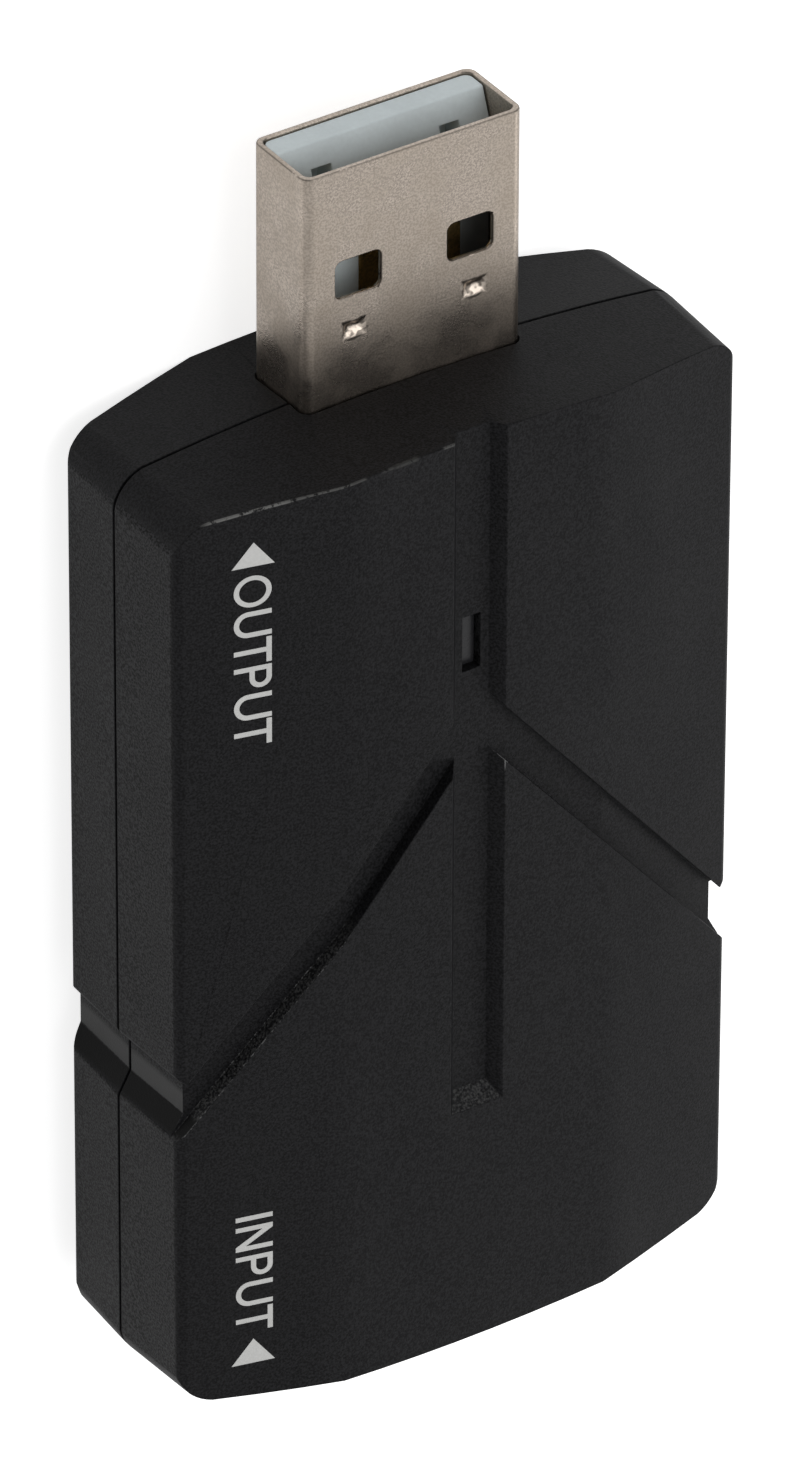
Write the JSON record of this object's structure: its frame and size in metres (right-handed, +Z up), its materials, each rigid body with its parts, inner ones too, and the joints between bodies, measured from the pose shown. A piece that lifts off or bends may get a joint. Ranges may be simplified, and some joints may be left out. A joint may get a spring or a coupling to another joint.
{
  "type": "video capture box",
  "caption": "Flat faceted plastic box that passes video to a computer: a plug at one end, a video socket at the other, and a branching channel with an indicator on the front.",
  "frame": {"origin": "middle of the box around the whole part, on the surface that it lies on", "axes": "+X across the case, to the right seen from the front; +Y along the case, towards the plug; +Z up, out of the front face"},
  "size_m": [0.0312, 0.0638, 0.0132],
  "materials": {
    "case_plastic": "satin moulded",
    "lens_plastic": "smoked clear",
    "plug_steel": "plated, satin",
    "plug_plastic": "satin moulded",
    "contact_gold": "gold plated",
    "socket_steel": "plated, satin",
    "black_resin": "matte moulded",
    "board_laminate": "solder mask",
    "ceramic": "fired ceramic",
    "lamp_resin": "clear resin"
  },
  "bodies": {
    "root": {"front_shell": "case_plastic", "rear_shell": "case_plastic", "light_pipe": "lens_plastic", "plug_shell": "plug_steel", "plug_insulator": "plug_plastic", "plug_power_contacts": "contact_gold", "plug_data_contacts": "contact_gold", "socket_shell": "socket_steel", "socket_insulator": "black_resin", "socket_upper_contacts": "contact_gold", "socket_lower_contacts": "contact_gold", "circuit_board": "board_laminate", "capture_chip": "black_resin", "memory_chip": "black_resin", "crystal": "socket_steel", "voltage_regulators": "black_resin", "power_coil": "black_resin", "protection_arrays": "black_resin", "capacitors": "ceramic", "resistors": "black_resin", "status_lamp": "lamp_resin"}
  },
  "joints": []
}
